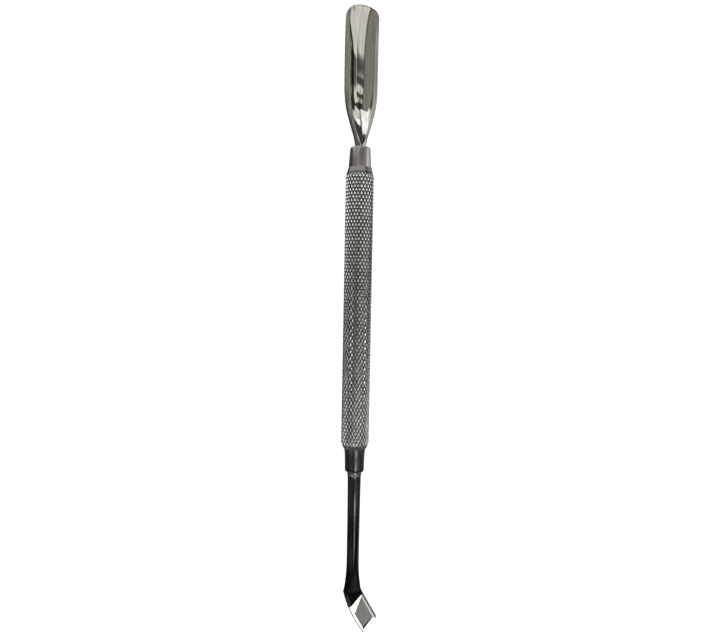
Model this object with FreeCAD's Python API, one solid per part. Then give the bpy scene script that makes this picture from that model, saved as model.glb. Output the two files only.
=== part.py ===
import FreeCAD, Part

import math
import os

from FreeCAD import Vector

# Double-ended cuticle pusher: a knurled hollow grip with a collar pressed into each end.
# One collar holds the scoop-shaped pusher, the other holds the shank of a bent hatchet blade.
# The tool lies along Y with the pusher towards +Y, and the scoop opens towards +Z.
# The origin is on the grip's axis, halfway along the grip. Lengths are in millimetres.

# Grip barrel, a tube with a taper at each end
GRIP_LENGTH = 59.5
GRIP_RADIUS = 3.0            # over the knurl's crests
CREST_LINES = 24             # the knurl's diamonds in each row round the grip
GRIP_BORE_RADIUS = 2.0
GRIP_END_RADIUS = 2.45       # outer radius of both end faces
PUSHER_TAPER = 2.0           # length of the long taper at the pusher end
BLADE_TAPER = 1.2            # length of the short taper at the blade end

# Collars, each a plug inside the grip and a visible cone outside it
PLUG_LENGTH = 8.0
PLUG_LEAD = 0.3              # chamfer on the plug's inner end
SOCKET_DEPTH = 9.0           # blind hole for the tang
LIP_ROUND = 0.4
PUSHER_COLLAR_LENGTH = 4.3
PUSHER_COLLAR_RADIUS = 2.40  # where it meets the grip
PUSHER_LIP_RADIUS = 2.13
BLADE_COLLAR_LENGTH = 5.1
BLADE_COLLAR_RADIUS = 2.33
BLADE_COVE_RADIUS = 2.11     # where the hollow curve beside the grip ends
BLADE_COVE_LENGTH = 2.2
BLADE_COVE_SAG = 0.06
BLADE_LIP_RADIUS = 2.06

# Tangs, a light press fit in the sockets
PUSHER_TANG_RADIUS = 1.0
BLADE_TANG_RADIUS = 1.2
TANG_LENGTH = 8.0
TANG_LEAD = 0.2
TANG_OVERLAP = 0.5           # how far a tang runs on into the piece that it carries

# Pusher scoop: sections from the collar's lip outwards, each
# (distance, half width, height of the widest points, half width and height at the outer side
# of the flat rim, half width of the hollow, its floor's height, the underside's height)
SCOOP_SECTIONS = (
    (0.0, 1.08, 0.00, 0.74, 0.80, 0.62, 1.04, -1.08),
    (2.0, 1.52, -0.05, 1.16, 0.86, 0.95, 0.80, -1.25),
    (4.75, 2.39, -0.15, 1.90, 0.74, 1.55, 0.20, -1.45),
    (8.0, 3.25, -0.28, 2.70, 0.50, 2.20, -0.92, -1.66),
    (11.0, 3.60, -0.33, 3.02, 0.39, 2.43, -1.02, -1.74),
    (15.0, 3.67, -0.35, 3.08, 0.35, 2.48, -1.02, -1.75),
    (20.0, 3.67, -0.33, 3.08, 0.35, 2.50, -0.94, -1.65),
    (25.0, 3.67, -0.20, 3.12, 0.36, 2.60, -0.66, -1.28),
    (31.0, 3.67, 0.05, 3.28, 0.38, 2.90, -0.12, -0.48),
)
SHOULDER_IN = 0.25           # the middle of the arc from the widest point to the rim, as a
SHOULDER_UP = 0.75           # share of that step in x and in z
SCOOP_LENGTH = 29.5          # from the collar's lip to the tip
TIP_END_RADIUS = 4.4         # the tip's outline from above: one wide arc at the end
TIP_CORNER_RADIUS = 2.9      # and a tighter arc into each side

# Shank: a small cone at the collar, a slim round rod, and a flattened flare
ROOT_RADIUS = 1.62
ROOT_END_RADIUS = 1.48
ROOT_LENGTH = 0.9
# (distance from the collar's lip, half width, half thickness, squareness of the section)
SHANK_SECTIONS = (
    (0.5, 1.45, 1.45, 2.0),
    (6.0, 1.38, 1.38, 2.0),
    (13.0, 1.34, 1.34, 2.0),
    (19.5, 1.33, 1.33, 2.0),
    (22.0, 1.40, 1.16, 2.2),
    (24.4, 1.66, 0.78, 2.8),
    (26.4, 1.96, 0.45, 5.0),
)
SECTION_POINTS = 32

# Hatchet blade: a plate bent up about a slanting fold and cut to its outline from above.
# Its points are (x, distance from the collar's lip).
BLADE_THICKNESS = 0.9
BEND_ANGLE = 20.0
BEND_RADIUS = 2.6            # of the upper face, in the fold
FOLD_ANGLE = 33.5            # between the fold and the tool's axis
FOLD_START = (0.83, 28.4)    # a point where the flat ends and the bend begins
BLADE_BACK = 25.0            # the plate's rear end, inside the flare
BLADE_BACK_HALF_WIDTH = 1.5
BLADE_LEFT = (-1.95, 26.3)   # where the long curved edge leaves the flare
BLADE_LEFT_MIDDLE = (-0.25, 31.15)
BLADE_POINT = (2.30, 35.25)
BLADE_HEEL = (5.4, 32.15)
BLADE_RIGHT = (2.17, 26.6)
BEVEL = 0.5                  # ground along the free edges of the upper face

Z_AXIS = Vector(0, 0, 1)
CUT_BELOW = 5.0              # cutting prisms start this far under the axis,
CUT_HEIGHT = 12.0            # and this height takes them over the highest point
CUT_CLEARANCE = 1.0          # how far a cutter runs past the end that it leaves alone
PLATE_REACH = 12.0           # half width of the plate that the blade is cut from
PUSHER_LIP = GRIP_LENGTH / 2 + PUSHER_COLLAR_LENGTH
BLADE_LIP = -GRIP_LENGTH / 2 - BLADE_COLLAR_LENGTH


def line(start, end):
    return Part.makeLine(start, end)


def arc(start, middle, end):
    return Part.Arc(start, middle, end).toShape()


def turned(radii_and_y):
    """A solid turned about Y from its half outline, given as (radius, y) corners."""
    corners = [Vector(radius, y, 0) for radius, y in radii_and_y]
    face = Part.Face(Part.makePolygon(corners + corners[:1]))
    return face.revolve(Vector(0, 0, 0), Vector(0, 1, 0), 360)


def lip_rounded(collar, lip_y):
    """The collar with the outer edge of its lip rounded over."""
    rims = [
        edge for edge in collar.Edges
        if isinstance(edge.Curve, Part.Circle) and abs(edge.Curve.Center.y - lip_y) < 1e-6
    ]
    return collar.makeFillet(LIP_ROUND, [max(rims, key=lambda edge: edge.Curve.Radius)])


def crest_ring(radius, y):
    """A closed ring round the axis with a corner on each crest line, and a flat at the bottom."""
    corners = []
    for index in range(CREST_LINES):
        angle = 2 * math.pi * (index + 0.5) / CREST_LINES
        corners.append(Vector(radius * math.cos(angle), y, radius * math.sin(angle)))
    return Part.makePolygon(corners + corners[:1])


def grip_barrel():
    """The tube over the knurl's crests, with flats between them and a taper at each end."""
    half = GRIP_LENGTH / 2
    outside = Part.makeLoft([
        crest_ring(GRIP_END_RADIUS, -half),
        crest_ring(GRIP_RADIUS, BLADE_TAPER - half),
        crest_ring(GRIP_RADIUS, half - PUSHER_TAPER),
        crest_ring(GRIP_END_RADIUS, half),
    ], True, True)
    bore = Part.makeCylinder(GRIP_BORE_RADIUS, GRIP_LENGTH, Vector(0, -half, 0), Vector(0, 1, 0))
    return outside.cut(bore)


def pusher_collar():
    """A plain cone outside the grip, with its plug inside and a blind socket from the lip."""
    seat = GRIP_LENGTH / 2
    inner = seat - PLUG_LENGTH
    socket_end = PUSHER_LIP - SOCKET_DEPTH
    collar = turned([
        (0, inner),
        (GRIP_BORE_RADIUS - PLUG_LEAD, inner),
        (GRIP_BORE_RADIUS, inner + PLUG_LEAD),
        (GRIP_BORE_RADIUS, seat),
        (PUSHER_COLLAR_RADIUS, seat),
        (PUSHER_LIP_RADIUS, PUSHER_LIP),
        (PUSHER_TANG_RADIUS, PUSHER_LIP),
        (PUSHER_TANG_RADIUS, socket_end),
        (0, socket_end),
    ])
    return lip_rounded(collar, PUSHER_LIP)


def blade_collar():
    """Like the other collar, with a hollow curve beside the grip and a nearly straight barrel."""
    seat = -GRIP_LENGTH / 2
    inner = seat + PLUG_LENGTH
    cove_end = seat - BLADE_COVE_LENGTH
    socket_end = BLADE_LIP + SOCKET_DEPTH
    corners = [
        Vector(BLADE_COVE_RADIUS, cove_end, 0),
        Vector(BLADE_LIP_RADIUS, BLADE_LIP, 0),
        Vector(BLADE_TANG_RADIUS, BLADE_LIP, 0),
        Vector(BLADE_TANG_RADIUS, socket_end, 0),
        Vector(0, socket_end, 0),
        Vector(0, inner, 0),
        Vector(GRIP_BORE_RADIUS - PLUG_LEAD, inner, 0),
        Vector(GRIP_BORE_RADIUS, inner - PLUG_LEAD, 0),
        Vector(GRIP_BORE_RADIUS, seat, 0),
        Vector(BLADE_COLLAR_RADIUS, seat, 0),
    ]
    middle = Vector(
        (BLADE_COVE_RADIUS + BLADE_COLLAR_RADIUS) / 2 - BLADE_COVE_SAG, (seat + cove_end) / 2, 0
    )
    edges = [line(start, end) for start, end in zip(corners, corners[1:])]
    edges.append(arc(corners[-1], middle, corners[0]))
    collar = Part.Face(Part.Wire(edges)).revolve(Vector(0, 0, 0), Vector(0, 1, 0), 360)
    return lip_rounded(collar, BLADE_LIP)


def tang(lip_y, radius, direction):
    """A round tang that runs from inside the working end, through the lip, into the collar."""
    start = lip_y + direction * TANG_OVERLAP
    end = lip_y - direction * TANG_LENGTH
    lead = end + direction * TANG_LEAD
    return turned([(0, start), (radius, start), (radius, lead), (radius - TANG_LEAD, end), (0, end)])


def scoop_section(distance, half_width, wide_z, rim_half_width, rim_z, hollow, floor, underside):
    """One closed section across the scoop, from the left widest point round by the underside."""
    y = PUSHER_LIP + distance
    shoulder_x = half_width - (half_width - rim_half_width) * SHOULDER_IN
    shoulder_z = wide_z + (rim_z - wide_z) * SHOULDER_UP
    left, right = Vector(-half_width, y, wide_z), Vector(half_width, y, wide_z)
    rim_left, rim_right = Vector(-rim_half_width, y, rim_z), Vector(rim_half_width, y, rim_z)
    hollow_left, hollow_right = Vector(-hollow, y, rim_z), Vector(hollow, y, rim_z)
    return Part.Wire([
        arc(left, Vector(0, y, underside), right),
        arc(right, Vector(shoulder_x, y, shoulder_z), rim_right),
        line(rim_right, hollow_right),
        arc(hollow_right, Vector(0, y, floor), hollow_left),
        line(hollow_left, rim_left),
        arc(rim_left, Vector(-shoulder_x, y, shoulder_z), left),
    ])


def tip_cutter(half_width):
    """A tall prism over the scoop's outline from above, with its tip of three tangent arcs."""
    tip = PUSHER_LIP + SCOOP_LENGTH
    corner_x = half_width - TIP_CORNER_RADIUS
    reach = TIP_END_RADIUS - TIP_CORNER_RADIUS
    end_centre = Vector(0, tip - TIP_END_RADIUS, 0)
    corner_centre = Vector(corner_x, end_centre.y + math.sqrt(reach ** 2 - corner_x ** 2), 0)
    join = corner_centre + (corner_centre - end_centre) * (TIP_CORNER_RADIUS / reach)
    side = corner_centre + Vector(TIP_CORNER_RADIUS, 0, 0)
    mean = (join - corner_centre + side - corner_centre).normalize()
    middle = corner_centre + mean * TIP_CORNER_RADIUS
    back = Vector(half_width, PUSHER_LIP - CUT_CLEARANCE, 0)
    right = [
        line(back, side),
        arc(side, middle, join),
    ]
    left = [edge.mirror(Vector(0, 0, 0), Vector(1, 0, 0)) for edge in right]
    end = arc(join, Vector(0, tip, 0), Vector(-join.x, join.y, 0))
    rear = line(back, Vector(-back.x, back.y, 0))
    outline = Part.Face(Part.Wire(Part.__sortEdges__(right + left + [end, rear])))
    outline.translate(Z_AXIS * -CUT_BELOW)
    return outline.extrude(Z_AXIS * CUT_HEIGHT)


def scoop_pusher():
    """The scoop lofted from its neck, cut to its rounded tip, with its tang."""
    body = Part.makeLoft([scoop_section(*section) for section in SCOOP_SECTIONS], True)
    widest = SCOOP_SECTIONS[-1][1]
    return body.common(tip_cutter(widest)).fuse(tang(PUSHER_LIP, PUSHER_TANG_RADIUS, 1))


def shank_section(distance, half_width, half_thickness, squareness):
    """One closed section across the shank: a circle that squares off as the flare flattens."""
    y = BLADE_LIP - distance
    points = []
    for step in range(SECTION_POINTS):
        angle = 2 * math.pi * step / SECTION_POINTS
        across, up = math.cos(angle), math.sin(angle)
        points.append(Vector(
            half_width * math.copysign(abs(across) ** (2 / squareness), across),
            y,
            half_thickness * math.copysign(abs(up) ** (2 / squareness), up),
        ))
    curve = Part.BSplineCurve()
    curve.interpolate(points, PeriodicFlag=True)
    return Part.Wire([curve.toShape()])


def on_blade(point, z=0.0):
    """The place of a blade point, given as (x, distance from the collar's lip)."""
    return Vector(point[0], BLADE_LIP - point[1], z)


def bent_plate():
    """A wide plate, flat towards the flare and bent up beyond the fold."""
    half = BLADE_THICKNESS / 2
    turn = math.radians(BEND_ANGLE)
    lower_radius = BEND_RADIUS + BLADE_THICKNESS
    centre = Vector(0, 0, half + BEND_RADIUS)

    def on_bend(radius, angle):
        return centre + Vector(math.sin(angle), 0, -math.cos(angle)) * radius

    ahead = Vector(math.cos(turn), 0, math.sin(turn)) * PLATE_REACH
    upper_end, lower_end = on_bend(BEND_RADIUS, turn), on_bend(lower_radius, turn)
    profile = Part.Wire([
        line(Vector(-PLATE_REACH, 0, half), Vector(0, 0, half)),
        arc(Vector(0, 0, half), on_bend(BEND_RADIUS, turn / 2), upper_end),
        line(upper_end, upper_end + ahead),
        line(upper_end + ahead, lower_end + ahead),
        line(lower_end + ahead, lower_end),
        arc(lower_end, on_bend(lower_radius, turn / 2), Vector(0, 0, -half)),
        line(Vector(0, 0, -half), Vector(-PLATE_REACH, 0, -half)),
        line(Vector(-PLATE_REACH, 0, -half), Vector(-PLATE_REACH, 0, half)),
    ])
    profile.translate(Vector(0, -PLATE_REACH, 0))
    plate = Part.Face(profile).extrude(Vector(0, 2 * PLATE_REACH, 0))
    plate.rotate(Vector(0, 0, 0), Z_AXIS, -FOLD_ANGLE)
    plate.translate(on_blade(FOLD_START))
    return plate


def blade_outline():
    """The blade's outline from above, as a face below the whole blade."""
    z = -CUT_BELOW
    left, point = on_blade(BLADE_LEFT, z), on_blade(BLADE_POINT, z)
    heel, right = on_blade(BLADE_HEEL, z), on_blade(BLADE_RIGHT, z)
    back_left = on_blade((-BLADE_BACK_HALF_WIDTH, BLADE_BACK), z)
    back_right = on_blade((BLADE_BACK_HALF_WIDTH, BLADE_BACK), z)
    return Part.Face(Part.Wire([
        line(back_left, left),
        arc(left, on_blade(BLADE_LEFT_MIDDLE, z), point),
        line(point, heel),
        line(heel, right),
        line(right, back_right),
        line(back_right, back_left),
    ]))


def wedge_along(edge, up, outward):
    """The sliver that the grinding wheel takes off along a straight edge of the upper face."""
    start, end = sorted((vertex.Point for vertex in edge.Vertexes), key=lambda point: point.z)
    along = (end - start).normalize()
    inward = up.cross(along).normalize()
    if inward.dot(outward) > 0:
        inward = inward * -1
    on_face = start + inward * BEVEL
    on_side = start - Z_AXIS * BEVEL
    spread = on_face - on_side
    past = 2 * BEVEL
    corners = [on_face + spread, on_side - spread, start + (up + outward) * past]
    wedge = Part.Face(Part.makePolygon(corners + corners[:1]))
    return wedge.extrude(along * (edge.Length + past))


def bevelled(blade):
    """The blade with its curved edge, its cutting edge and its short edge ground on the top."""
    turn, slant = math.radians(BEND_ANGLE), math.radians(FOLD_ANGLE)
    up = Vector(
        -math.sin(turn) * math.cos(slant), math.sin(turn) * math.sin(slant), math.cos(turn)
    )
    face = next(
        face for face in blade.Faces
        if isinstance(face.Surface, Part.Plane) and face.normalAt(0, 0).dot(up) > 0.999
    )
    # The edge along the fold is the lowest, and the cutting edge out at the point is the highest.
    by_height = sorted(face.Edges, key=lambda edge: edge.CenterOfMass.z)
    long_edge, short_edge, cutting_edge = by_height[1:]
    way = on_blade(BLADE_HEEL) - on_blade(BLADE_RIGHT)
    outward = Vector(-way.y, way.x, 0).normalize()
    wedge = wedge_along(short_edge, up, outward)
    return blade.makeChamfer(BEVEL, [long_edge, cutting_edge]).cut(wedge)


def hatchet_blade():
    """The shank with its root cone and flare, and the bevelled blade bent up at the fold."""
    plate = bent_plate().common(blade_outline().extrude(Z_AXIS * CUT_HEIGHT))
    blade = bevelled(plate.Solids[0])
    shank = Part.makeLoft([shank_section(*section) for section in SHANK_SECTIONS], True)
    root = turned([
        (0, BLADE_LIP),
        (ROOT_RADIUS, BLADE_LIP),
        (ROOT_END_RADIUS, BLADE_LIP - ROOT_LENGTH),
        (0, BLADE_LIP - ROOT_LENGTH),
    ])
    return shank.fuse([root, blade, tang(BLADE_LIP, BLADE_TANG_RADIUS, -1)])


PIECES = {
    "grip_barrel": grip_barrel,
    "pusher_collar": pusher_collar,
    "blade_collar": blade_collar,
    "scoop_pusher": scoop_pusher,
    "hatchet_blade": hatchet_blade,
}


def main():
    os.makedirs("parts", exist_ok=True)
    for name, make in PIECES.items():
        shape = make().removeSplitter()
        shape.exportStep("parts/" + name + ".step")
        box = shape.BoundBox
        print(
            f"{name}: valid {shape.isValid()}, {len(shape.Solids)} solid, "
            f"{shape.Volume:.2f} mm3, x {box.XMin:.2f} to {box.XMax:.2f}, "
            f"y {box.YMin:.2f} to {box.YMax:.2f}, z {box.ZMin:.2f} to {box.ZMax:.2f}"
        )


main()
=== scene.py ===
import math

import bmesh
import bpy
from mathutils import Matrix, Vector


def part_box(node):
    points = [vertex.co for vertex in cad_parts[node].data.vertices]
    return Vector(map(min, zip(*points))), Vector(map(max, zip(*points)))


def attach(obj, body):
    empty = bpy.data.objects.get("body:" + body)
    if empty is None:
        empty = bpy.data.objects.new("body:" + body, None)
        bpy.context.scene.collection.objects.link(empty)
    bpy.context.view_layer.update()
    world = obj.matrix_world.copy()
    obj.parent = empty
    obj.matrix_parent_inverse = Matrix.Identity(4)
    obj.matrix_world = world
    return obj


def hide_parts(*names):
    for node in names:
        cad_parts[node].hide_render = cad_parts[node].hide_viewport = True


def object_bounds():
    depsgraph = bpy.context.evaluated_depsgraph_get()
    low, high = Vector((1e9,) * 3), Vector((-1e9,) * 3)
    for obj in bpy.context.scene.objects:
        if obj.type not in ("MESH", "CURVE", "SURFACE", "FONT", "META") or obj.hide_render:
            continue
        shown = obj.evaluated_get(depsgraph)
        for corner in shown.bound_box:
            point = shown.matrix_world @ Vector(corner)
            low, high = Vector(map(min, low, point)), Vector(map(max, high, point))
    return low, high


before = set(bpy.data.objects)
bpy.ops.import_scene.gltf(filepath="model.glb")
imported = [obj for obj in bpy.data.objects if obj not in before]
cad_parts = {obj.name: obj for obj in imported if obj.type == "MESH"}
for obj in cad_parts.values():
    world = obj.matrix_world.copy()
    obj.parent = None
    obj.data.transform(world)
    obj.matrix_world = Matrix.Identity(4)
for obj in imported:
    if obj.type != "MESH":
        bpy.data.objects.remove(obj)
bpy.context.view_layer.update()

# ---- Grip barrel --------------------------------------------------------------------------
# A stainless steel tube. Two knurling rollers have pressed right- and left-hand grooves into it,
# which leave rows of small pyramids. Both ends are turned to a taper, where the knurl runs out.
# Meshes are worked in millimetres and brought to metres as each piece is finished.

MM = 0.001
GRIP_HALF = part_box("grip_barrel")[1].y / MM
CREST_RADIUS = 2.99
GROOVE_RADIUS = 2.82
BORE_RADIUS = 2.0
KNURL_STARTS = 24
KNURL_ROWS = 41
# (inset, radius) of each step up a pyramid: round the groove's bottom, up the flank, over the crest
PYRAMID_STEPS = ((0.035, 2.83), (0.19, 2.965), (0.05, CREST_RADIUS))
END_RADIUS = 2.45
PUSHER_TAPER = 2.0
BLADE_TAPER = 1.2
FINER_BEFORE_TAPER = 0.5
# (begins, full) of the smooth turned end, inwards from the end face
TURNED_END = (1.4, 0.8)
GROOVE_TONE, TURNED_TONE = (0.045, 0.044, 0.043), (0.17, 0.168, 0.162)
CREST_DULL, CREST_BRIGHT = (0.56, 0.555, 0.55), (0.84, 0.835, 0.83)


def set_radius(vert, radius):
    """Moves a vertex straight out from the tool's axis, or in, to this radius."""
    factor = radius / math.hypot(vert.co.x, vert.co.z)
    vert.co.x *= factor
    vert.co.z *= factor


def finish_piece(name, bm, materials, smooth_angle=40.0):
    """Makes the object for a finished bmesh, and puts it in place of the CAD node of that name."""
    bmesh.ops.remove_doubles(bm, verts=bm.verts, dist=1e-4)
    bmesh.ops.recalc_face_normals(bm, faces=bm.faces)
    bmesh.ops.scale(bm, verts=bm.verts, vec=(MM, MM, MM))
    for face in bm.faces:
        face.smooth = True
    for edge in bm.edges:
        gentle = len(edge.link_faces) == 2 and edge.calc_face_angle() < math.radians(smooth_angle)
        edge.smooth = edge.smooth and gentle
    mesh = bpy.data.meshes.new(name)
    bm.to_mesh(mesh)
    bm.free()
    piece = bpy.data.objects.new(name + "_finished", mesh)
    bpy.context.collection.objects.link(piece)
    for material in materials:
        mesh.materials.append(material)
    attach(piece, "root")
    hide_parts(name)


bm = bmesh.new()
on_axis = Matrix.Translation((0, -GRIP_HALF, 0)) @ Matrix.Rotation(math.radians(90), 4, "X")
bmesh.ops.create_circle(
    bm, cap_ends=False, radius=GROOVE_RADIUS, segments=KNURL_STARTS, matrix=on_axis
)
row = 2 * GRIP_HALF / KNURL_ROWS
bmesh.ops.spin(
    bm, geom=bm.edges[:], cent=(0, 0, 0), axis=(0, 1, 0), dvec=(0, row, 0),
    angle=0, steps=KNURL_ROWS, use_merge=False, use_duplicate=False
)
# Each cell gets a cross of grooves, and with the cell's own edges gone the diamonds are whole.
cell_edges = [edge for edge in bm.edges if not edge.is_boundary]
crossings = bmesh.ops.poke(bm, faces=bm.faces[:])["verts"]
for vert in crossings:
    set_radius(vert, GROOVE_RADIUS)
bmesh.ops.dissolve_edges(bm, edges=cell_edges, use_verts=False, use_face_split=False)
diamonds = bm.faces[:]
for inset, radius in PYRAMID_STEPS:
    bmesh.ops.inset_individual(bm, faces=diamonds, thickness=inset, use_even_offset=True)
    for vert in {vert for face in diamonds for vert in face.verts}:
        set_radius(vert, radius)
# The tapers cut through the pyramids, so the mesh is finer there before its radius is limited.
near_ends = [
    edge for edge in bm.edges
    if max(abs(vert.co.y) for vert in edge.verts) > GRIP_HALF - PUSHER_TAPER - FINER_BEFORE_TAPER
]
bmesh.ops.subdivide_edges(bm, edges=near_ends, cuts=2, use_grid_fill=True)
for vert in bm.verts:
    taper = PUSHER_TAPER if vert.co.y > 0 else BLADE_TAPER
    into_taper = max(0.0, 1 - (GRIP_HALF - abs(vert.co.y)) / taper)
    limit = CREST_RADIUS - (CREST_RADIUS - END_RADIUS) * into_taper
    if math.hypot(vert.co.x, vert.co.z) > limit:
        set_radius(vert, limit)
# The end faces and the bore close the tube.
ends = [edge for edge in bm.edges if edge.is_boundary]
inner = bmesh.ops.extrude_edge_only(bm, edges=ends)["geom"]
for vert in [item for item in inner if isinstance(item, bmesh.types.BMVert)]:
    set_radius(vert, BORE_RADIUS)
bmesh.ops.bridge_loops(bm, edges=[edge for edge in bm.edges if edge.is_boundary])


def steel(name, base, roughness):
    """A metal with its node tree, its shader and its place on the object in millimetres."""
    material = bpy.data.materials.new(name)
    material.use_nodes = True
    tree = material.node_tree
    shader = tree.nodes["Principled BSDF"]
    shader.inputs["Metallic"].default_value = 1.0
    shader.inputs["Base Color"].default_value = (*base, 1)
    shader.inputs["Roughness"].default_value = roughness
    place = tree.nodes.new("ShaderNodeTexCoord")
    scale = tree.nodes.new("ShaderNodeVectorMath")
    scale.operation = "MULTIPLY"
    scale.inputs[1].default_value = (1 / MM, 1 / MM, 1 / MM)
    tree.links.new(place.outputs["Object"], scale.inputs[0])
    return material, tree, shader, scale.outputs[0]


def noise(tree, position, stretch, detail=3.0):
    """Noise of about one grain per millimetre divided by stretch, as a value from 0 to 1."""
    mapping = tree.nodes.new("ShaderNodeMapping")
    mapping.inputs["Scale"].default_value = stretch
    tree.links.new(position, mapping.inputs["Vector"])
    grain = tree.nodes.new("ShaderNodeTexNoise")
    grain.inputs["Scale"].default_value = 1.0
    grain.inputs["Detail"].default_value = detail
    grain.inputs["Roughness"].default_value = 0.6
    tree.links.new(mapping.outputs["Vector"], grain.inputs["Vector"])
    return grain.outputs["Fac"]


def ranged(tree, value, low, high, to_low, to_high):
    """The value taken from one range to another, held at the ends."""
    node = tree.nodes.new("ShaderNodeMapRange")
    tree.links.new(value, node.inputs["Value"])
    limits = {"From Min": low, "From Max": high, "To Min": to_low, "To Max": to_high}
    for socket, number in limits.items():
        node.inputs[socket].default_value = number
    return node.outputs["Result"]


def blended(tree, factor, first, second):
    """A colour between two, each a socket or three numbers."""
    node = tree.nodes.new("ShaderNodeMix")
    node.data_type = "RGBA"
    tree.links.new(factor, node.inputs[0])
    for socket, colour in ((node.inputs[6], first), (node.inputs[7], second)):
        if isinstance(colour, tuple):
            socket.default_value = (*colour, 1)
        else:
            tree.links.new(colour, socket)
    return node.outputs[2]


def combined(tree, operation, first, second):
    """Two values added, multiplied or compared; the second may be a number."""
    node = tree.nodes.new("ShaderNodeMath")
    node.operation = operation
    tree.links.new(first, node.inputs[0])
    if isinstance(second, float):
        node.inputs[1].default_value = second
    else:
        tree.links.new(second, node.inputs[1])
    return node.outputs[0]


def bumped(tree, shader, height, strength, depth_mm):
    """Fine relief of the given depth on the shader's normal."""
    node = tree.nodes.new("ShaderNodeBump")
    node.inputs["Strength"].default_value = strength
    node.inputs["Distance"].default_value = depth_mm * MM
    tree.links.new(height, node.inputs["Height"])
    tree.links.new(node.outputs["Normal"], shader.inputs["Normal"])


def from_axis(tree, position):
    """Distance from the tool's axis in millimetres."""
    flat = tree.nodes.new("ShaderNodeVectorMath")
    flat.operation = "MULTIPLY"
    flat.inputs[1].default_value = (1, 0, 1)
    tree.links.new(position, flat.inputs[0])
    length = tree.nodes.new("ShaderNodeVectorMath")
    length.operation = "LENGTH"
    tree.links.new(flat.outputs[0], length.inputs[0])
    return length.outputs["Value"]


knurled, tree, shader, position = steel("knurled_steel", (0.5, 0.5, 0.49), 0.3)
height = from_axis(tree, position)
mottle = noise(tree, position, (1.2, 0.5, 1.2))
grain = noise(tree, position, (14.0, 14.0, 14.0))
along = tree.nodes.new("ShaderNodeSeparateXYZ")
tree.links.new(position, along.inputs[0])
turned_begins, turned_full = (GRIP_HALF - inset for inset in TURNED_END)
turned_end = ranged(tree, along.outputs["Y"], turned_begins, turned_full, 0.0, 1.0)
cleanness = ranged(tree, height, 2.825, 2.89, 0.0, 1.0)
crests = blended(tree, ranged(tree, mottle, 0.35, 0.65, 0.0, 1.0), CREST_DULL, CREST_BRIGHT)
body = blended(tree, cleanness, GROOVE_TONE, crests)
tree.links.new(blended(tree, turned_end, body, TURNED_TONE), shader.inputs["Base Color"])
wear = ranged(tree, height, 2.93, 2.98, 0.2, 0.16)
uneven_wear = combined(tree, "ADD", wear, ranged(tree, grain, 0.3, 0.7, -0.06, 0.1))
tree.links.new(uneven_wear, shader.inputs["Roughness"])
bumped(tree, shader, grain, 0.35, 0.02)
finish_piece("grip_barrel", bm, [knurled], smooth_angle=12.0)

# ---- Collars ------------------------------------------------------------------------------
# Two turned steel collars with a plug inside the grip and a blind socket for the tang. They are
# polished lengthwise on a belt, which leaves fine streaks, and the lips are rounded over.

COLLAR_STEPS = 96
PLUG_SHOWN = 2.0
PUSHER_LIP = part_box("pusher_collar")[1].y / MM
BLADE_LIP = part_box("blade_collar")[0].y / MM
# (radius, distance from the grip's end face) down the outside of each collar
PUSHER_COLLAR = ((2.40, 0.0), (2.35, 0.9), (2.13, PUSHER_LIP - GRIP_HALF))
BLADE_COLLAR = (
    (2.33, 0.0), (2.245, 0.45), (2.175, 0.95), (2.13, 1.55), (2.11, 2.2),
    (2.06, -BLADE_LIP - GRIP_HALF),
)
PUSHER_SOCKET, BLADE_SOCKET = 1.0, 1.2
LIP_ROUNDING, SOCKET_ROUNDING = 0.42, 0.08


def turned_collar(outside, socket_radius, direction):
    """A closed ring turned from its section: the outside, the lip, the socket and the plug."""
    length = outside[-1][1]
    section = [(BORE_RADIUS, -PLUG_SHOWN), (BORE_RADIUS, 0.0), *outside]
    section += [(socket_radius, length), (socket_radius, -PLUG_SHOWN)]
    bm = bmesh.new()
    corners = [
        bm.verts.new((radius, direction * (GRIP_HALF + along), 0)) for radius, along in section
    ]
    edges = [bm.edges.new(pair) for pair in zip(corners, corners[1:] + corners[:1])]
    bmesh.ops.spin(
        bm, geom=edges, cent=(0, 0, 0), axis=(0, 1, 0), dvec=(0, 0, 0),
        angle=math.tau, steps=COLLAR_STEPS, use_merge=True, use_duplicate=False
    )
    lip = direction * (GRIP_HALF + length)
    for radius, rounding in ((outside[-1][0], LIP_ROUNDING), (socket_radius, SOCKET_ROUNDING)):
        ring = [
            edge for edge in bm.edges
            if all(
                abs(vert.co.y - lip) < 1e-3
                and abs(math.hypot(vert.co.x, vert.co.z) - radius) < 1e-3
                for vert in edge.verts
            )
        ]
        bmesh.ops.bevel(
            bm, geom=ring, offset=rounding, offset_type="OFFSET", segments=6, profile=0.5,
            affect="EDGES", material=-1
        )
    return bm


def streaked(name, dark, light, roughness, relief=0.25):
    """Steel polished along the tool: streaks that run lengthwise, with a few deeper ones."""
    material, tree, shader, position = steel(name, light, roughness)
    fine = noise(tree, position, (16.0, 0.25, 16.0), detail=4.0)
    broad = noise(tree, position, (2.0, 0.08, 2.0), detail=1.0)
    fine_share = combined(tree, "MULTIPLY", fine, 0.3)
    broad_share = combined(tree, "MULTIPLY", broad, 0.7)
    tone = ranged(tree, combined(tree, "ADD", fine_share, broad_share), 0.42, 0.58, 0.0, 1.0)
    tree.links.new(blended(tree, tone, dark, light), shader.inputs["Base Color"])
    polish = ranged(tree, fine, 0.3, 0.7, roughness * 1.3, roughness * 0.8)
    tree.links.new(polish, shader.inputs["Roughness"])
    bumped(tree, shader, fine, relief, 0.01)
    return material


def place_of(material):
    """The place on the piece as separate X, Y and Z outputs, in metres."""
    tree = material.node_tree
    axes = tree.nodes.new("ShaderNodeSeparateXYZ")
    tree.links.new(tree.nodes["Texture Coordinate"].outputs["Object"], axes.inputs[0])
    return axes.outputs


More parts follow.
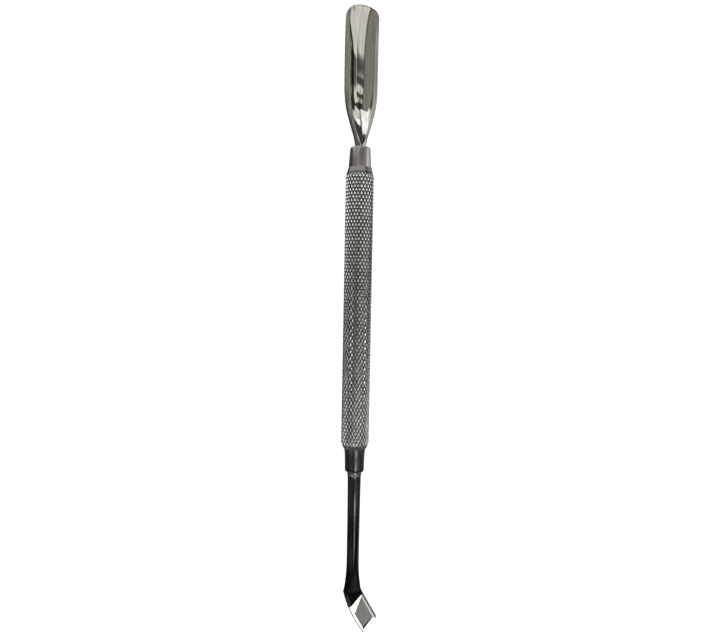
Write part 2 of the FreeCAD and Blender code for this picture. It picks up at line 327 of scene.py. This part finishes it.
def faded(tree, coordinate, places, start, end, origin=0.0):
    """A share that runs from start to end between two places, in millimetres from the origin."""
    first, last = ((origin + place) * MM for place in places)
    return ranged(tree, coordinate, first, last, start, end)


def tinted(material, share, colour):
    """Lays a colour over the one that the material has, by this share."""
    tree = material.node_tree
    base = tree.nodes["Principled BSDF"].inputs["Base Color"]
    tree.links.new(blended(tree, share, base.links[0].from_socket, colour), base)


def toned(material, low, high, colour):
    """Tints the material where its place along the tool runs from low to high."""
    along = place_of(material)["Y"]
    tinted(material, faded(material.node_tree, along, (low, high), 0.0, 1.0), colour)


turned = streaked("turned_steel", (0.30, 0.29, 0.28), (0.66, 0.64, 0.61), 0.26)
# The collar is painted darker over its rounded lip, where the scoop's neck goes in: a painted
# shade.
toned(turned, PUSHER_LIP - 0.5, PUSHER_LIP - 0.2, (0.16, 0.155, 0.15))
finish_piece(
    "pusher_collar", turned_collar(PUSHER_COLLAR, PUSHER_SOCKET, 1), [turned]
)
# The blade's collar is the same streaked turned steel in much darker tones than the scoop's collar.
dark_turned = streaked("dark_turned_steel", (0.06, 0.058, 0.056), (0.2, 0.195, 0.185), 0.28)
# The collar is painted darker still over its lip, where the shank goes in: a painted shade.
toned(dark_turned, BLADE_LIP + 0.7, BLADE_LIP + 0.4, (0.02, 0.02, 0.02))
finish_piece(
    "blade_collar", turned_collar(BLADE_COLLAR, BLADE_SOCKET, -1), [dark_turned]
)

# ---- Scoop pusher -------------------------------------------------------------------------
# The pusher is forged from round steel: a slim neck that widens into a long hollow scoop with a
# flat brim and a thin rounded tip. It is polished all over, and its tang sits in the collar.

# (distance from the lip, half width, height of the widest points, half width and height of the
# brim, half width of the hollow, height of its floor, height of the underside)
SCOOP_SECTIONS = (
    (0.0, 1.08, 0.00, 0.74, 0.80, 0.62, 1.04, -1.08),
    (2.0, 1.52, -0.05, 1.16, 0.86, 0.95, 0.80, -1.25),
    (4.75, 2.39, -0.15, 1.90, 0.74, 1.55, 0.20, -1.45),
    (8.0, 3.25, -0.28, 2.70, 0.50, 2.20, -0.92, -1.66),
    (11.0, 3.60, -0.33, 3.05, 0.39, 2.50, -1.05, -1.74),
    (13.0, 3.65, -0.345, 3.09, 0.37, 2.53, -1.02, -1.745),
    (15.0, 3.67, -0.35, 3.12, 0.35, 2.56, -1.02, -1.75),
    (20.0, 3.67, -0.33, 3.14, 0.35, 2.58, -0.94, -1.65),
    (25.0, 3.67, -0.20, 3.26, 0.36, 2.92, -0.66, -1.28),
    (31.0, 3.67, 0.05, 3.36, 0.38, 3.12, -0.12, -0.48),
)
HALF_WIDTH, WIDE_Z, BRIM_HALF, BRIM_Z, HOLLOW_HALF, FLOOR_Z, UNDERSIDE_Z = range(7)
SCOOP_LENGTH = 29.5
NECK_HIDDEN = 0.4
SCOOP_ROWS = 90
HOLLOW_COLUMNS, BRIM_COLUMNS, FLANK_COLUMNS = 14, 3, 5
SIDE_COLUMNS = HOLLOW_COLUMNS + BRIM_COLUMNS + FLANK_COLUMNS
TIP_END_RADIUS, TIP_CORNER_RADIUS = 4.4, 2.9
TIP_BOW = 9.0
BRIM_LEAN = 0.3
BRIM_FIRST_ROW = 9
EDGE_ROUNDING = 0.05
RUN_OUT_SKEW = 1.3
CREASE_BEGINS, CREASE_FULL, CREASE_SHARE = 13.0, 10.0, 0.2
# (nothing, full) of each painted shade, as distances from the lip, or from the middle for a side
LEFT_WALL_SHADE_TONE, LEFT_WALL_SHADE_SHARE, LEFT_WALL_SHADE_SLANT = (0.055, 0.05, 0.051), 0.93, 1.2
LEFT_WALL_SHADE_TOP, LEFT_WALL_SHADE_FOOT, LEFT_WALL_SHADE_SIDE = (17.9, 17.3), (11.6, 13.2), (-0.6, -1.1)
CREASE_SHADE_TONE, CREASE_SHADE_SHARE = (0.05, 0.047, 0.045), 0.85
CREASE_SHADE_SIDE, CREASE_SHADE_TOP, CREASE_SHADE_FOOT = (0.26, 0.1), (12.6, 10.5), (2.5, 3.5)


def held(value):
    """The value, kept from 0 to 1."""
    return min(max(value, 0), 1)


def between(table, distance):
    """A row of the table at this distance, on a smooth curve through the rows beside it."""
    distance = min(max(distance, table[0][0]), table[-1][0])
    index = max(i for i in range(len(table) - 1) if table[i][0] <= distance)
    first, second = table[index], table[index + 1]
    before, after = table[max(index - 1, 0)], table[min(index + 2, len(table) - 1)]
    span = second[0] - first[0]
    t = (distance - first[0]) / span
    values = []
    for a, p, q, b in zip(before, first, second, after):
        leave = (q - a) / (second[0] - before[0]) * span
        arrive = (b - p) / (after[0] - first[0]) * span
        values.append(
            p * (2 * t ** 3 - 3 * t ** 2 + 1) + leave * (t ** 3 - 2 * t ** 2 + t)
            + q * (3 * t ** 2 - 2 * t ** 3) + arrive * (t ** 3 - t ** 2)
        )
    return values[1:]


def on_arc(share, half_chord, edge_z, middle_z):
    """A point on the arc from the middle out to the edge; share runs from -1 to 1."""
    rise = middle_z - edge_z
    if abs(rise) < 1e-4:
        return share * half_chord, middle_z
    half_angle = 2 * math.atan(abs(rise) / half_chord)
    radius = half_chord / math.sin(half_angle)
    angle = share * half_angle
    return radius * math.sin(angle), middle_z - math.copysign(radius * (1 - math.cos(angle)), rise)


def upper_point(column, section):
    """The hollow, the flat brim or the rounded flank, by how far the column is from the middle."""
    half_width, wide_z, brim_half, brim_z, hollow_half, floor_z = section[:UNDERSIDE_Z]
    side, out = math.copysign(1, column), abs(column)
    if out <= HOLLOW_COLUMNS:
        return on_arc(column / HOLLOW_COLUMNS, hollow_half, brim_z, floor_z)
    out -= HOLLOW_COLUMNS
    if out <= BRIM_COLUMNS:
        x = hollow_half + (brim_half - hollow_half) * out / BRIM_COLUMNS
        return side * x, brim_z - BRIM_LEAN * (x - hollow_half)
    turn = math.radians(90) * (out - BRIM_COLUMNS) / FLANK_COLUMNS
    x = brim_half + (half_width - brim_half) * math.sin(turn)
    outer_z = brim_z - BRIM_LEAN * (brim_half - hollow_half)
    return side * x, wide_z + (outer_z - wide_z) * math.cos(turn)


def lower_point(column, section):
    """The rounded underside, from one widest point to the other."""
    return on_arc(
        column / SIDE_COLUMNS, section[HALF_WIDTH], section[WIDE_Z], section[UNDERSIDE_Z]
    )


def tip_drop(x, half_width):
    """How far back from the tip the rounded outline lies at this x."""
    x = min(abs(x), half_width)
    reach = TIP_END_RADIUS - TIP_CORNER_RADIUS
    corner_x = half_width - TIP_CORNER_RADIUS
    corner_back = TIP_END_RADIUS - math.sqrt(reach ** 2 - corner_x ** 2)
    join = corner_x * TIP_END_RADIUS / reach
    if x <= join:
        return TIP_END_RADIUS - math.sqrt(TIP_END_RADIUS ** 2 - x ** 2)
    return corner_back - math.sqrt(max(0.0, TIP_CORNER_RADIUS ** 2 - (x - corner_x) ** 2))


def scoop_side(bm, surface_point):
    """One side of the scoop, as a grid whose rows bow forward until the last follows the tip."""
    grid = bmesh.ops.create_grid(
        bm, x_segments=2 * SIDE_COLUMNS, y_segments=SCOOP_ROWS, size=1
    )["verts"]
    for vert in grid:
        column = round(vert.co.x * SIDE_COLUMNS)
        distance = -NECK_HIDDEN + (vert.co.y + 1) / 2 * (SCOOP_LENGTH + NECK_HIDDEN)
        section = between(SCOOP_SECTIONS, distance)
        x, _ = surface_point(column, section)
        bow = held((distance - SCOOP_LENGTH + TIP_BOW) / TIP_BOW)
        if bow > 0:
            distance -= bow * bow * (3 - 2 * bow) * tip_drop(x, section[HALF_WIDTH])
        section = between(SCOOP_SECTIONS, distance)
        share = column / HOLLOW_COLUMNS
        if surface_point is upper_point and abs(share) < 1:
            # The wheel went in at a slant, so the hollow ends sooner on its left, and in a crease.
            skewed = between(SCOOP_SECTIONS, distance + RUN_OUT_SKEW * share)
            section[FLOOR_Z] = skewed[FLOOR_Z]
            x, z = surface_point(column, section)
            crease = (CREASE_BEGINS - distance) / (CREASE_BEGINS - CREASE_FULL)
            v_shaped = section[FLOOR_Z] + (section[BRIM_Z] - section[FLOOR_Z]) * abs(share)
            z += CREASE_SHARE * held(crease) * (v_shaped - z)
        else:
            x, z = surface_point(column, section)
        vert.co = (x, PUSHER_LIP + distance, z)
    return grid


bm = bmesh.new()
upper = scoop_side(bm, upper_point)
lower = scoop_side(bm, lower_point)
width = 2 * SIDE_COLUMNS + 1
tip_edges, neck_edges = [], []
for side in (upper, lower):
    last_row, first_row = set(side[-width:]), set(side[:width])
    tip_edges += [edge for edge in bm.edges if last_row.issuperset(edge.verts)]
    neck_edges += [edge for edge in bm.edges if first_row.issuperset(edge.verts)]
bmesh.ops.bridge_loops(bm, edges=tip_edges)
bmesh.ops.bridge_loops(bm, edges=neck_edges)
brim_columns = (HOLLOW_COLUMNS, HOLLOW_COLUMNS + BRIM_COLUMNS)
brim = {
    vert for index, vert in enumerate(upper)
    if abs(index % width - SIDE_COLUMNS) in brim_columns and index // width >= BRIM_FIRST_ROW
}
# The brim's edges run along the scoop; those that cross it are left alone.
rounded = [
    edge for edge in bm.edges
    if brim.issuperset(edge.verts)
    and abs((edge.verts[0].co - edge.verts[1].co).normalized().y) > 0.2
]
bmesh.ops.remove_doubles(bm, verts=bm.verts, dist=1e-4)
rounded += [edge for edge in tip_edges if edge.is_valid and len(edge.link_faces) == 2]
bmesh.ops.bevel(
    bm, geom=[edge for edge in rounded if edge.is_valid], offset=EDGE_ROUNDING,
    offset_type="OFFSET", segments=2, profile=0.5, affect="EDGES", material=-1, clamp_overlap=True
)
polished = streaked("polished_steel", (0.52, 0.505, 0.48), (0.66, 0.645, 0.62), 0.05, 0.03)
# Painted shade: a dull brown darkening on the hollow's left side, and a dark line along the crease.
tree = polished.node_tree
place = place_of(polished)
slant = combined(tree, "ADD", place["Y"], combined(tree, "MULTIPLY", place["X"], LEFT_WALL_SHADE_SLANT))
uneven = noise(tree, tree.nodes["Texture Coordinate"].outputs["Object"], (900.0, 400.0, 900.0))
slant = combined(tree, "ADD", slant, ranged(tree, uneven, 0.3, 0.7, -0.3 * MM, 0.3 * MM))
left_wall_shade = faded(tree, slant, LEFT_WALL_SHADE_TOP, 0.0, LEFT_WALL_SHADE_SHARE, PUSHER_LIP)
left_wall_shade = combined(tree, "MULTIPLY", left_wall_shade, faded(tree, place["Y"], LEFT_WALL_SHADE_FOOT, 0.0, 1.0, PUSHER_LIP))
left_wall_shade = combined(tree, "MULTIPLY", left_wall_shade, faded(tree, place["X"], LEFT_WALL_SHADE_SIDE[::-1], 1.0, 0.0))
tinted(polished, left_wall_shade, LEFT_WALL_SHADE_TONE)
# A painted shade: a dark line down the middle of the hollow, along the crease.
beside = combined(tree, "ABSOLUTE", place["X"], 0.0)
crease_shade = faded(tree, beside, CREASE_SHADE_SIDE[::-1], CREASE_SHADE_SHARE, 0.0)
crease_shade = combined(tree, "MULTIPLY", crease_shade, faded(tree, place["Y"], CREASE_SHADE_TOP, 0.0, 1.0, PUSHER_LIP))
crease_shade = combined(tree, "MULTIPLY", crease_shade, faded(tree, place["Y"], CREASE_SHADE_FOOT, 0.0, 1.0, PUSHER_LIP))
tinted(polished, crease_shade, CREASE_SHADE_TONE)
satin = streaked("satin_steel", (0.40, 0.39, 0.375), (0.62, 0.605, 0.58), 0.24, 0.12)
POLISHED, SATIN = range(2)
DEEPEST_FLOOR = -1.05
for face in bm.faces:
    middle = face.calc_center_median()
    hollow_half = between(SCOOP_SECTIONS, middle.y - PUSHER_LIP)[HOLLOW_HALF]
    faces_up = face.normal.z > 0.1 and middle.z > DEEPEST_FLOOR
    face.material_index = POLISHED if abs(middle.x) < hollow_half and faces_up else SATIN
finish_piece("scoop_pusher", bm, [polished, satin])

# ---- Hatchet blade ------------------------------------------------------------------------
# A hardened, dark round shank that is hammered flat at its end. The flat is bent up along a
# slanting fold, and the blade beyond the fold is ground, with a bevel on each free edge. The fold
# and the bevels carry a painted highlight, and the steep rims and the sides a painted shade.

# (distance from the lip, half width, half thickness, squareness of the section)
SHANK_SECTIONS = (
    (-0.6, 1.60, 1.60, 2.0),
    (0.0, 1.62, 1.62, 2.0),
    (0.75, 1.50, 1.50, 2.0),
    (1.1, 1.44, 1.44, 2.0),
    (6.0, 1.38, 1.38, 2.0),
    (13.0, 1.34, 1.34, 2.0),
    (19.5, 1.33, 1.33, 2.0),
    (22.0, 1.40, 1.16, 2.2),
    (24.4, 1.66, 0.78, 2.8),
    (26.4, 1.96, 0.45, 5.0),
)
SHANK_SEGMENTS = 64
SHANK_ROWS = 90

bm = bmesh.new()


def place_section(verts, distance):
    """Puts a ring of vertices, in order, on the shank's section at this distance."""
    half_width, half_thickness, squareness = between(SHANK_SECTIONS, distance)
    for index, vert in enumerate(verts):
        angle = math.tau * index / SHANK_SEGMENTS
        across, up = math.cos(angle), math.sin(angle)
        vert.co = (
            half_width * math.copysign(abs(across) ** (2 / squareness), across),
            BLADE_LIP - distance,
            half_thickness * math.copysign(abs(up) ** (2 / squareness), up),
        )


ring = bmesh.ops.create_circle(bm, cap_ends=True, radius=1, segments=SHANK_SEGMENTS)["verts"]
start, end = SHANK_SECTIONS[0][0], SHANK_SECTIONS[-1][0]
place_section(ring, start)
for step in range(1, SHANK_ROWS + 1):
    edges = [bm.edges.get((a, b)) for a, b in zip(ring, ring[1:] + ring[:1])]
    made = bmesh.ops.extrude_edge_only(bm, edges=edges)["geom"]
    new = [item for item in made if isinstance(item, bmesh.types.BMVert)]
    partner = {}
    for vert in new:
        for edge in vert.link_edges:
            other = edge.other_vert(vert)
            if other not in new:
                partner[other] = vert
    ring = [partner[vert] for vert in ring]
    place_section(ring, start + (end - start) * step / SHANK_ROWS)
bmesh.ops.contextual_create(bm, geom=ring)

BLADE_THICKNESS = 0.9
BLADE_BACK = ((-1.5, 25.0), (1.5, 25.0))
BLADE_LEFT, BLADE_MIDDLE, BLADE_POINT = (-1.95, 26.3), (-0.25, 31.15), (2.30, 35.25)
BLADE_HEEL, BLADE_RIGHT = (5.4, 32.15), (2.17, 26.6)
HEEL_RADIUS = 0.7
# (whole width, width of its steep rim) of the bevel along each side
LEFT_BEVEL, CUTTING_BEVEL, RIGHT_BEVEL = (0.75, 0.22), (0.95, 0.12), (0.6, 0.34)
BACK_BEVEL = (0.3, 0.1)
BEVEL_DEPTH, RIM_DEPTH = 0.58, 0.1
BEVEL_BEGINS, BEVEL_RUN_IN = 26.6, 2.2
# (right end, left end) of the fold's first and last line, and how far it bends at each line
FOLD_START = (Vector((2.32, 26.9)), Vector((-0.55, 29.95)))
FOLD_END = (Vector((2.02, 27.5)), Vector((0.52, 31.05)))
FOLD_BENDS = [math.radians(angle) for angle in (9, 2, 9)]
# Width of the bright hairline beside the facet, a painted highlight, and the stretch of the short
# edge that has it
EDGE_LINE, EDGE_LINE_ENDS, EDGE_LINE_INSIDE = 0.1, 32.2, 1.6
# The order of the blade's materials
DARK, PAINTED_HIGHLIGHT, GROUND, RIM_SHADE = range(4)


def arc_through(first, middle, last, count):
    """Points on the circular arc through three points."""
    (ax, ay), (bx, by), (cx, cy) = first, middle, last
    d = 2 * (ax * (by - cy) + bx * (cy - ay) + cx * (ay - by))
    a2, b2, c2 = ax * ax + ay * ay, bx * bx + by * by, cx * cx + cy * cy
    centre = Vector((
        (a2 * (by - cy) + b2 * (cy - ay) + c2 * (ay - by)) / d,
        (a2 * (cx - bx) + b2 * (ax - cx) + c2 * (bx - ax)) / d,
    ))
    radius = (Vector(first) - centre).length
    start, halfway, end = (
        math.atan2(y - centre.y, x - centre.x) for x, y in (first, middle, last)
    )
    sweep = (end - start) % math.tau
    if (halfway - start) % math.tau > sweep:
        sweep -= math.tau
    angles = [start + sweep * step / count for step in range(count + 1)]
    return [centre + Vector((math.cos(angle), math.sin(angle))) * radius for angle in angles]


def rounded_corner(before, corner, after, radius, count):
    """The corner as an arc, tangent to both of its sides."""
    to_before = (Vector(before) - Vector(corner)).normalized()
    to_after = (Vector(after) - Vector(corner)).normalized()
    half = to_before.angle(to_after) / 2
    reach = radius / math.tan(half)
    centre = Vector(corner) + (to_before + to_after).normalized() * (radius / math.sin(half))
    first, last = Vector(corner) + to_before * reach, Vector(corner) + to_after * reach
    middle = centre + (Vector(corner) - centre).normalized() * radius
    return arc_through(first, middle, last, count)


left_edge = arc_through(BLADE_LEFT, BLADE_MIDDLE, BLADE_POINT, 16)
heel = rounded_corner(BLADE_POINT, BLADE_HEEL, BLADE_RIGHT, HEEL_RADIUS, 6)
outline = [(point, LEFT_BEVEL) for point in left_edge[:-1]]
outline += [(left_edge[-1], CUTTING_BEVEL)]
for index, point in enumerate(heel[:-1]):
    share = index / (len(heel) - 1)
    outline.append((point, [a + (b - a) * share for a, b in zip(CUTTING_BEVEL, RIGHT_BEVEL)]))
outline += [(heel[-1], RIGHT_BEVEL), (Vector(BLADE_RIGHT), RIGHT_BEVEL)]
outline += [(Vector(back), BACK_BEVEL) for back in reversed(BLADE_BACK)]


def bevel_line(index, which):
    """The place on the bevel's inner line (which 0) or its rim's (1), at an outline corner."""
    before, here = outline[index - 1], outline[index]
    after = outline[(index + 1) % len(outline)]
    ways = [(b[0] - a[0]).normalized() for a, b in ((before, here), (here, after))]
    inward, next_inward = [Vector((way.y, -way.x)) for way in ways]
    width, next_width = before[1][which], here[1][which]
    if inward.angle(next_inward) < math.radians(30):
        return here[0] + (inward + next_inward).normalized() * (width + next_width) / 2
    # At a sharp corner the two inner lines meet where each is its own width from its side.
    det = inward.x * next_inward.y - inward.y * next_inward.x
    return here[0] + Vector((
        (width * next_inward.y - next_width * inward.y) / det,
        (inward.x * next_width - next_inward.x * width) / det,
    ))


def bevel_share(distance):
    """How much of the bevel's full depth it has at this distance, as it runs in."""
    return held((distance - BEVEL_BEGINS) / BEVEL_RUN_IN)


top = BLADE_THICKNESS / 2
plate = []
for point, _ in outline:
    height = top - 1e-3 - BEVEL_DEPTH * bevel_share(point.y)
    plate.append(bm.verts.new((point.x, BLADE_LIP - point.y, height)))
facet = bm.faces.new(plate)
blade_faces = [facet]
ring = plate
for which, z in ((1, top - BEVEL_DEPTH + RIM_DEPTH), (0, top)):
    band = bmesh.ops.inset_region(bm, faces=[facet], thickness=0.02, use_boundary=True)["faces"]
    owners = {
        vert: min(range(len(ring)), key=lambda index: (ring[index].co - vert.co).length)
        for vert in facet.verts
    }
    for vert, owner in owners.items():
        point = bevel_line(owner, which)
        height = top - (top - z) * bevel_share(outline[owner][0].y)
        vert.co = (point.x, BLADE_LIP - point.y, height)
    ring = [vert for vert, owner in sorted(owners.items(), key=lambda item: item[1])]
    for face in band:
        face.material_index = RIM_SHADE if which else DARK
    blade_faces += band
lower = bmesh.ops.extrude_face_region(bm, geom=blade_faces, use_keep_orig=True)["geom"]
for vert in [item for item in lower if isinstance(item, bmesh.types.BMVert)]:
    vert.co.z = -top
# The plate is every face that joins the facet; the shank is a closed piece of its own.
plate_faces, waiting = [facet], [facet]
while waiting:
    for edge in waiting.pop().edges:
        for other in edge.link_faces:
            if other not in plate_faces:
                plate_faces.append(other)
                waiting.append(other)
folds = [
    [FOLD_START[end].lerp(FOLD_END[end], step / (len(FOLD_BENDS) - 1)) for end in (0, 1)]
    for step in range(len(FOLD_BENDS))
]


def fold_frame(fold):
    """A point on the fold line, the way along it and the way across it, towards the point."""
    right, left = (Vector((p.x, BLADE_LIP - p.y, 0)) for p in fold)
    along = (right - left).normalized()
    return left, along, Vector((along.y, -along.x, 0))


for fold in folds:
    point, along, across = fold_frame(fold)
    geometry = plate_faces + [edge for face in plate_faces for edge in face.edges]
    geometry += [vert for face in plate_faces for vert in face.verts]
    cut = bmesh.ops.bisect_plane(
        bm, geom=list(dict.fromkeys(geometry)), dist=1e-4, plane_co=point, plane_no=across
    )
    plate_faces = [item for item in cut["geom"] if isinstance(item, bmesh.types.BMFace)]
first_point, _, first_across = fold_frame(folds[0])
last_point, _, last_across = fold_frame(folds[-1])
for face in plate_faces:
    middle = sum((vert.co for vert in face.verts), Vector()) / len(face.verts)
    was_rim = face.material_index == RIM_SHADE
    face.material_index = DARK
    if (middle - first_point).dot(first_across) < 0:
        continue
    beyond_end = (middle - last_point).dot(last_across) > 0
    upper_flat = all(vert.co.z > top - 1e-3 for vert in face.verts)
    face.material_index = GROUND if beyond_end and upper_flat else PAINTED_HIGHLIGHT
    if was_rim or abs(face.normal.z) < 0.2:
        face.material_index = RIM_SHADE
flat = {vert: vert.co.copy() for face in plate_faces for vert in face.verts}
for fold, bend in reversed(list(zip(folds, FOLD_BENDS))):
    point, along, across = fold_frame(fold)
    moving = [vert for vert, place in flat.items() if (place - point).dot(across) > 1e-4]
    bmesh.ops.rotate(bm, verts=moving, cent=point, matrix=Matrix.Rotation(-bend, 3, along))
for edge in dict.fromkeys(edge for face in plate_faces for edge in face.edges):
    if len(edge.link_faces) == 2 and edge.calc_face_angle() > math.radians(5):
        edge.smooth = False
# A hairline of its own along the short edge, where the facet meets the bevel, painted bright as a
# painted highlight.
facet_rim = [
    edge for edge in bm.edges
    if {face.material_index for face in edge.link_faces} == {PAINTED_HIGHLIGHT, GROUND}
    and min(vert.co.y for vert in edge.verts) > BLADE_LIP - EDGE_LINE_ENDS
    and min(vert.co.x for vert in edge.verts) > EDGE_LINE_INSIDE
]
bmesh.ops.bevel(
    bm, geom=facet_rim, offset=EDGE_LINE, offset_type="OFFSET", segments=1, profile=0.5,
    affect="EDGES", material=PAINTED_HIGHLIGHT
)

dark = streaked("dark_steel", (0.035, 0.035, 0.036), (0.24, 0.236, 0.236), 0.22)
# The shank is painted darker still where it flattens towards the flare: a painted shade.
toned(dark, BLADE_LIP - 18.0, BLADE_LIP - 22.0, (0.018, 0.018, 0.02))
# A lighter ring is painted round the shank's rounded root, next to the collar: a painted highlight.
toned(dark, BLADE_LIP - 1.3, BLADE_LIP - 0.8, (0.30, 0.29, 0.28))
# Painted highlight: the fold and the bevels are a far lighter copy of the ground steel.
painted_highlight, tree, shader, position = steel("ground_painted_highlight", (0.88, 0.88, 0.87), 0.12)
grinding = noise(tree, position, (5.0, 14.0, 5.0), detail=4.0)
tree.links.new(ranged(tree, grinding, 0.3, 0.7, 0.08, 0.18), shader.inputs["Roughness"])
sheen = ranged(tree, grinding, 0.4, 0.6, 0.0, 1.0)
ground_tone = blended(tree, sheen, (0.84, 0.84, 0.83), (0.92, 0.92, 0.91))
tree.links.new(ground_tone, shader.inputs["Base Color"])
bumped(tree, shader, grinding, 0.1, 0.004)
ground, tree, shader, position = steel("ground_face", (0.42, 0.41, 0.385), 0.34)
scratches = noise(tree, position, (10.0, 10.0, 10.0), detail=5.0)
tree.links.new(ranged(tree, scratches, 0.3, 0.7, 0.3, 0.42), shader.inputs["Roughness"])
bumped(tree, shader, scratches, 0.2, 0.01)
# Painted shade: the steep rims and the blade's sides are a near-black copy of the ground steel.
rim = streaked("rim_painted_shade_steel", (0.07, 0.07, 0.069), (0.17, 0.168, 0.165), 0.3)
finish_piece("hatchet_blade", bm, [dark, painted_highlight, ground, rim], smooth_angle=25.0)

# ---- Table, light and camera --------------------------------------------------------------
# The tool lies on a plain white table in a soft studio, with pale walls on its right, dimmer ones
# on its left and one small lamp over the blade's fold. The camera looks down from a little left.

bm = bmesh.new()
bmesh.ops.create_grid(bm, x_segments=1, y_segments=1, size=3.0)
bmesh.ops.translate(bm, verts=bm.verts, vec=(0, 0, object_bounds()[0].z))
table_mesh = bpy.data.meshes.new("table")
bm.to_mesh(table_mesh)
bm.free()
table = bpy.data.objects.new("table", table_mesh)
bpy.context.collection.objects.link(table)
white = bpy.data.materials.new("table_white")
white.use_nodes = True
shader = white.node_tree.nodes["Principled BSDF"]
shader.inputs["Base Color"].default_value = (0.9, 0.9, 0.9, 1)
shader.inputs["Roughness"].default_value = 0.6
shader.inputs["Emission Color"].default_value = (1, 1, 1, 1)
shader.inputs["Emission Strength"].default_value = 0.75
table_mesh.materials.append(white)
table.visible_glossy = False

world = bpy.data.worlds.new("studio")
bpy.context.scene.world = world
world.use_nodes = True
tree = world.node_tree
sky = tree.nodes["Background"]
sky.inputs["Strength"].default_value = 1.0
way = tree.nodes.new("ShaderNodeTexCoord")
axes = tree.nodes.new("ShaderNodeSeparateXYZ")
tree.links.new(way.outputs["Generated"], axes.inputs[0])
# (direction along the tool from -1 to 1, brightness), for light from the right and from the left
SKY_RIGHT = (
    (-1.0, 0.09), (-0.24, 0.09), (-0.12, 0.58), (0.12, 0.60), (0.17, 0.95), (0.300, 0.95),
    (0.316, 0.07), (1.0, 0.10),
)
SKY_LEFT = ((-1.0, 0.09), (-0.24, 0.09), (-0.12, 0.15), (0.18, 0.18), (0.27, 0.31), (1.0, 0.31))
RIGHT_TINT, LEFT_TINT = (0.965, 0.91), (0.95, 0.87)
STRIP_TONE, STRIP_SHARE = (0.10, 0.095, 0.09), 0.8
BELOW_LEFT, BELOW_RIGHT = (0.08, 0.08, 0.08), (0.42, 0.42, 0.41)
FAR_WHITE, FRONT_WHITE = (1.5, 1.48, 1.45), (1.5, 1.5, 1.5)


def sky_ramp(along, stops, tint):
    """The sky's brightness along the tool."""
    node = tree.nodes.new("ShaderNodeValToRGB")
    tree.links.new(ranged(tree, along, -1.0, 1.0, 0.0, 1.0), node.inputs["Fac"])
    ramp = node.color_ramp
    for place, _ in stops[1:-1]:
        ramp.elements.new((place + 1) / 2)
    for element, (place, value) in zip(ramp.elements, stops):
        element.position = (place + 1) / 2
        element.color = (value, value * tint[0], value * tint[1], 1)
    return node.outputs["Color"]


def smooth_step(socket, low, high, to_low=0.0, to_high=1.0):
    """The value taken from one range to another with an eased start and end."""
    result = ranged(tree, socket, low, high, to_low, to_high)
    result.node.interpolation_type = "SMOOTHSTEP"
    return result


east, north, up = axes.outputs["X"], axes.outputs["Y"], axes.outputs["Z"]
shifted = combined(tree, "SUBTRACT", north, ranged(tree, east, 0.65, 1.0, 0.0, 0.14))
right_side = sky_ramp(shifted, SKY_RIGHT, RIGHT_TINT)
left_side = sky_ramp(north, SKY_LEFT, LEFT_TINT)
# A dark strip stands where the two sides meet.
strip_right, strip_left = smooth_step(east, -0.28, -0.24), smooth_step(east, -0.19, -0.15, 1.0, 0.0)
strip = combined(tree, "MULTIPLY", strip_right, strip_left)
strip = combined(tree, "MULTIPLY", strip, smooth_step(north, 0.2, 0.23))
colour = blended(tree, smooth_step(east, -0.22, -0.18), left_side, right_side)
colour = blended(tree, combined(tree, "MULTIPLY", strip, STRIP_SHARE), colour, STRIP_TONE)
below = blended(tree, smooth_step(east, -0.3, 0.3), BELOW_LEFT, BELOW_RIGHT)
colour = blended(tree, smooth_step(up, 0.0, -0.25), colour, below)
# Bright panels stand beyond the scoop's end and low in front of the blade's.
far_shift = combined(tree, "MULTIPLY", smooth_step(east, 0.42, 0.52), smooth_step(up, 0.0, 0.1))
far = combined(tree, "SUBTRACT", north, combined(tree, "MULTIPLY", far_shift, 0.08))
far = combined(tree, "SUBTRACT", far, smooth_step(up, 0.25, 0.45, 0.0, 0.1))
colour = blended(tree, smooth_step(far, 0.41, 0.47), colour, FAR_WHITE)
in_front, low_down = smooth_step(north, -0.56, -0.64), smooth_step(up, 0.70, 0.62)
colour = blended(tree, combined(tree, "MULTIPLY", in_front, low_down), colour, FRONT_WHITE)
tree.links.new(colour, sky.inputs["Color"])

LAMP_PLACE, LAMP_AIM = Vector((0, -109, 142)), Vector((0, -64, 0))
lamp_light = bpy.data.lights.new("fold_light", "AREA")
lamp_light.shape = "RECTANGLE"
lamp_light.size, lamp_light.size_y = 40 * MM, 36 * MM
lamp_light.energy = 0.016
lamp = bpy.data.objects.new("fold_light", lamp_light)
bpy.context.collection.objects.link(lamp)
lamp_turn = (LAMP_PLACE - LAMP_AIM).to_track_quat("Z", "Y").to_matrix().to_4x4()
lamp.matrix_world = Matrix.Translation(LAMP_PLACE * MM) @ lamp_turn

CAMERA_PLACE = Vector((-37.433, 3.704, 124.456)) * MM
across = Matrix.Rotation(math.radians(17), 3, "Y")
nod = Matrix.Rotation(math.radians(2.5), 3, "X")
roll = Matrix.Rotation(math.radians(-1.08), 3, "Z")
aim = (roll @ nod @ across).transposed()
camera_data = bpy.data.cameras.new("camera")
camera_data.lens = 30.55
camera_data.clip_start = 0.01
camera = bpy.data.objects.new("camera", camera_data)
bpy.context.collection.objects.link(camera)
camera.matrix_world = Matrix.Translation(CAMERA_PLACE) @ aim.to_4x4()
bpy.context.scene.camera = camera
bpy.context.scene.view_settings.view_transform = "Standard"
